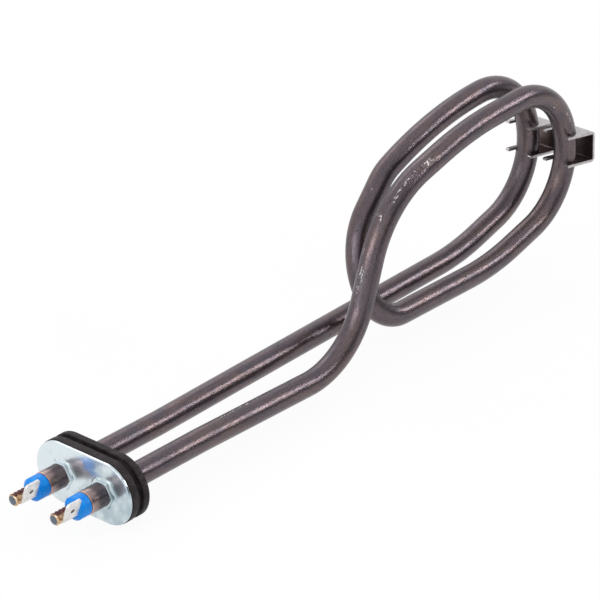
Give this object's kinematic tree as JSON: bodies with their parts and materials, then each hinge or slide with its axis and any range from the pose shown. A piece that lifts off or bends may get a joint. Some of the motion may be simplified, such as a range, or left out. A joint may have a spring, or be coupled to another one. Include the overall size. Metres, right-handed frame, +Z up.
{
  "type": "washer dryer heating element",
  "caption": "Tubular steel heater bent into two upright loops, on an oval flange with a rubber seal and blade terminals.",
  "frame": {"origin": "middle of the oval flange's outer face, halfway between the two legs", "axes": "+X from the flange along the legs to the far end of the loops, +Y along the long axis of the flange towards the first leg, +Z up, the way the loops rise; the terminals stand on the -X side"},
  "size_m": [0.2785, 0.0444, 0.0801],
  "materials": {
    "sheath_steel": "dull, dark oxide film from bright annealing, with drawing lines",
    "magnesia": "compacted powder",
    "coil_alloy": "drawn wire",
    "zinc_plate": "bright zinc plate",
    "seal_rubber": "matt moulded",
    "pin_steel": "turned, heat tinted",
    "plug_cement": "cast",
    "bush_plastic": "satin moulded",
    "tab_metal": "tin plated",
    "clip_steel": "bright rolled sheet"
  },
  "bodies": {
    "root": {"flange_plate": "zinc_plate", "grommet_seal": "seal_rubber", "sheath_first_leg": "sheath_steel", "sheath_first_loop": "sheath_steel", "sheath_crossing": "sheath_steel", "sheath_second_loop": "sheath_steel", "sheath_second_leg": "sheath_steel", "magnesia_core": "magnesia", "resistance_coil": "coil_alloy", "first_terminal_pin": "pin_steel", "second_terminal_pin": "pin_steel", "first_sealing_plug": "plug_cement", "second_sealing_plug": "plug_cement", "first_insulating_bush": "bush_plastic", "second_insulating_bush": "bush_plastic", "first_flag_tab": "tab_metal", "second_flag_tab": "tab_metal", "first_locating_clip": "clip_steel", "second_locating_clip": "clip_steel"}
  },
  "joints": []
}
